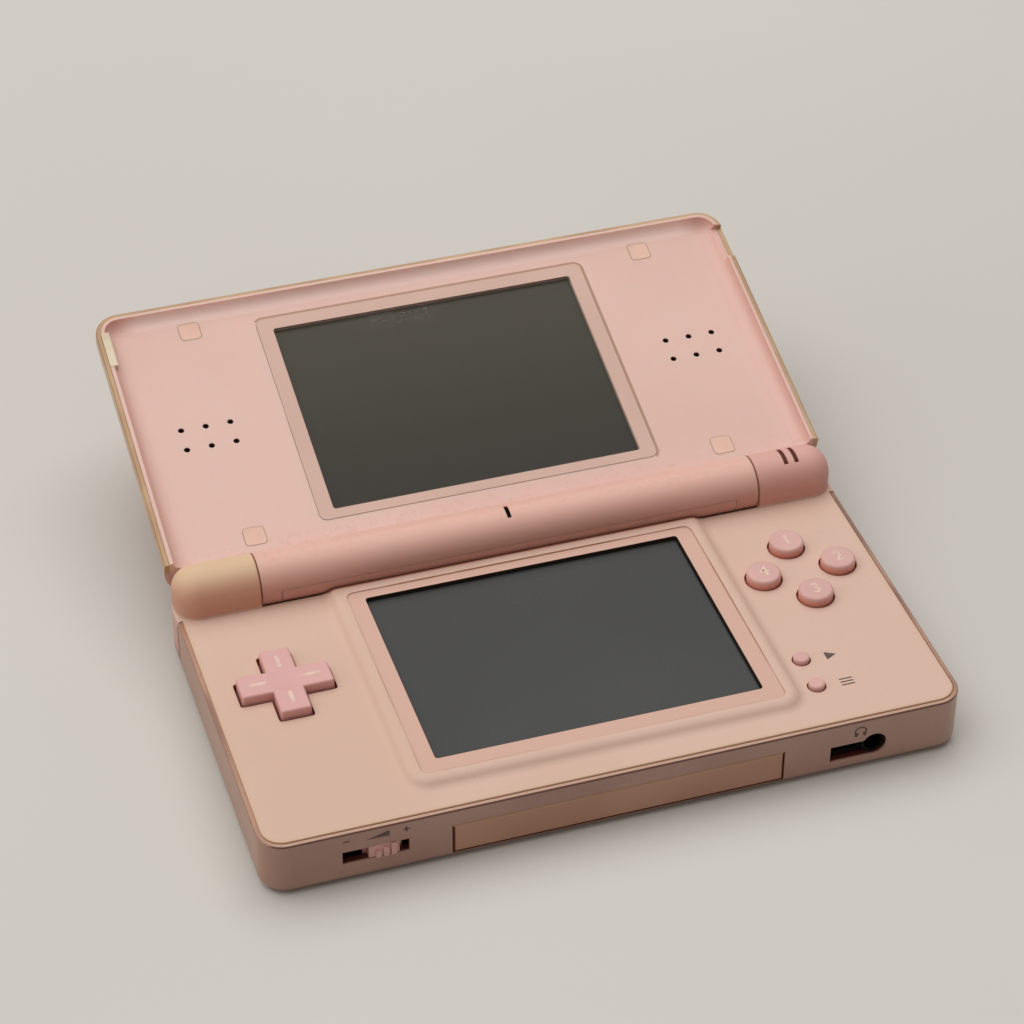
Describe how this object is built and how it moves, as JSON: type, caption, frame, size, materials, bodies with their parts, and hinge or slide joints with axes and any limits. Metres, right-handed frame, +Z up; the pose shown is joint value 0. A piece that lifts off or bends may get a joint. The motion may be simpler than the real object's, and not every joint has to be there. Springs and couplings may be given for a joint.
{
  "type": "clamshell handheld game console",
  "caption": "Pocket clamshell with a screen in the hinged lid and a touch screen in the base, a direction pad, push buttons, shoulder buttons, slides, a stylus and card slots.",
  "frame": {"origin": "centre of the base's flat underside, which the console stands on", "axes": "+X to the console's right, +Y from the front edge to the hinge, +Z up; the lid is drawn open at 165 degrees"},
  "size_m": [0.1333, 0.1357, 0.0348],
  "materials": {
    "shell": "clear polycarbonate over pink-mauve plastic, fine speckle",
    "deck": "matte moulded, peach pink",
    "lid_inside": "satin moulded, light pink",
    "lid_shell": "clear polycarbonate over pink, edges yellowed",
    "button": "satin moulded, rose pink",
    "cover": "satin moulded, tan pink",
    "cap": "peach rubber",
    "bumper": "cream rubber",
    "plug": "pink rubber",
    "screen_glass": "dark display under a film",
    "display": "dark display glass in a thin metal frame",
    "window": "clear window with a tinted border",
    "board": "green laminate",
    "steel": "zinc plated steel",
    "black_plastic": "black moulded",
    "natural_plastic": "off-white moulded",
    "silicone": "grey silicone",
    "battery_wrap": "dark grey film",
    "light_pipe": "dark tinted light pipe",
    "ribbon": "amber polyimide"
  },
  "bodies": {
    "base": {"lower_case": "shell", "upper_case": "deck", "battery_cover": "shell", "battery_cover_screw": "steel", "battery": "battery_wrap", "main_board": "board", "lower_display": "display", "touch_panel": "screen_glass", "direction_membrane": "silicone", "face_button_membrane": "silicone", "menu_button_membrane": "silicone", "card_slot": "steel", "cartridge_slot": "black_plastic", "headphone_socket": "black_plastic", "charge_socket": "black_plastic", "volume_switch": "natural_plastic", "power_switch": "natural_plastic", "case_screws": "steel", "screw_plugs": "plug", "hinge_clutch": "steel", "hinge_bush": "natural_plastic", "status_lights": "light_pipe", "shoulder_pins": "steel", "shoulder_springs": "steel", "wireless_module": "board"},
    "lid": {"lid_outer_cover": "lid_shell", "lid_inner_cover": "lid_inside", "barrel_cover": "lid_inside", "hinge_shaft": "steel", "upper_display": "display", "upper_window": "window", "speakers": "black_plastic", "microphone": "steel", "display_cable": "ribbon", "lid_screws": "steel", "lid_screw_caps": "cap", "rim_bumper": "bumper"},
    "pad_nub": {"pad_nub": "natural_plastic"},
    "direction_pad": {"direction_pad": "button"},
    "face_button_rear": {"face_button_rear": "button"},
    "face_button_right": {"face_button_right": "button"},
    "face_button_front": {"face_button_front": "button"},
    "face_button_left": {"face_button_left": "button"},
    "menu_button_rear": {"menu_button_rear": "button"},
    "menu_button_front": {"menu_button_front": "button"},
    "volume_slider": {"volume_slider": "button"},
    "power_slider": {"power_slider": "shell"},
    "shoulder_button_left": {"shoulder_button_left": "cover"},
    "shoulder_button_right": {"shoulder_button_right": "cover"},
    "dust_cover": {"dust_cover": "cover"},
    "stylus": {"stylus": "button"}
  },
  "joints": [
    {"name": "lid_hinge", "type": "hinge", "parent": "base", "child": "lid", "pos_m": [0, 0.03175, 0.0148], "axis": [1, 0, 0], "range_deg": [0, 165]},
    {"name": "pad_rock_side", "type": "hinge", "parent": "base", "child": "pad_nub", "pos_m": [-0.05175, 0.0036, 0.0086], "axis": [0, 1, 0], "range_deg": [-2.5, 2.5], "stiffness_Nm_per_rad": 0.15},
    {"name": "pad_rock_front", "type": "hinge", "parent": "pad_nub", "child": "direction_pad", "pos_m": [-0.05175, 0.0036, 0.0086], "axis": [1, 0, 0], "range_deg": [-2.5, 2.5], "stiffness_Nm_per_rad": 0.15},
    {"name": "face_button_rear_press", "type": "slide", "parent": "base", "child": "face_button_rear", "axis": [0, 0, -1], "range_m": [0, 0.0008], "stiffness_N_per_m": 1500},
    {"name": "face_button_right_press", "type": "slide", "parent": "base", "child": "face_button_right", "axis": [0, 0, -1], "range_m": [0, 0.0008], "stiffness_N_per_m": 1500},
    {"name": "face_button_front_press", "type": "slide", "parent": "base", "child": "face_button_front", "axis": [0, 0, -1], "range_m": [0, 0.0008], "stiffness_N_per_m": 1500},
    {"name": "face_button_left_press", "type": "slide", "parent": "base", "child": "face_button_left", "axis": [0, 0, -1], "range_m": [0, 0.0008], "stiffness_N_per_m": 1500},
    {"name": "menu_button_rear_press", "type": "slide", "parent": "base", "child": "menu_button_rear", "axis": [0, 0, -1], "range_m": [0, 0.0005], "stiffness_N_per_m": 2000},
    {"name": "menu_button_front_press", "type": "slide", "parent": "base", "child": "menu_button_front", "axis": [0, 0, -1], "range_m": [0, 0.0005], "stiffness_N_per_m": 2000},
    {"name": "volume_slide", "type": "slide", "parent": "base", "child": "volume_slider", "axis": [1, 0, 0], "range_m": [-0.0047, 0.0017]},
    {"name": "power_slide", "type": "slide", "parent": "base", "child": "power_slider", "axis": [0, 1, 0], "range_m": [0, 0.004], "stiffness_N_per_m": 250},
    {"name": "shoulder_left_press", "type": "hinge", "parent": "base", "child": "shoulder_button_left", "pos_m": [-0.0479, 0.03355, 0.007], "axis": [0, 0, 1], "range_deg": [0, 2.2], "stiffness_Nm_per_rad": 0.5},
    {"name": "shoulder_right_press", "type": "hinge", "parent": "base", "child": "shoulder_button_right", "pos_m": [0.0479, 0.03355, 0.007], "axis": [0, 0, -1], "range_deg": [0, 2.2], "stiffness_Nm_per_rad": 0.5},
    {"name": "dust_cover_pull", "type": "slide", "parent": "base", "child": "dust_cover", "axis": [0, -1, 0], "range_m": [0, 0.018]},
    {"name": "stylus_pull", "type": "slide", "parent": "base", "child": "stylus", "axis": [1, 0, 0], "range_m": [0, 0.09]}
  ]
}
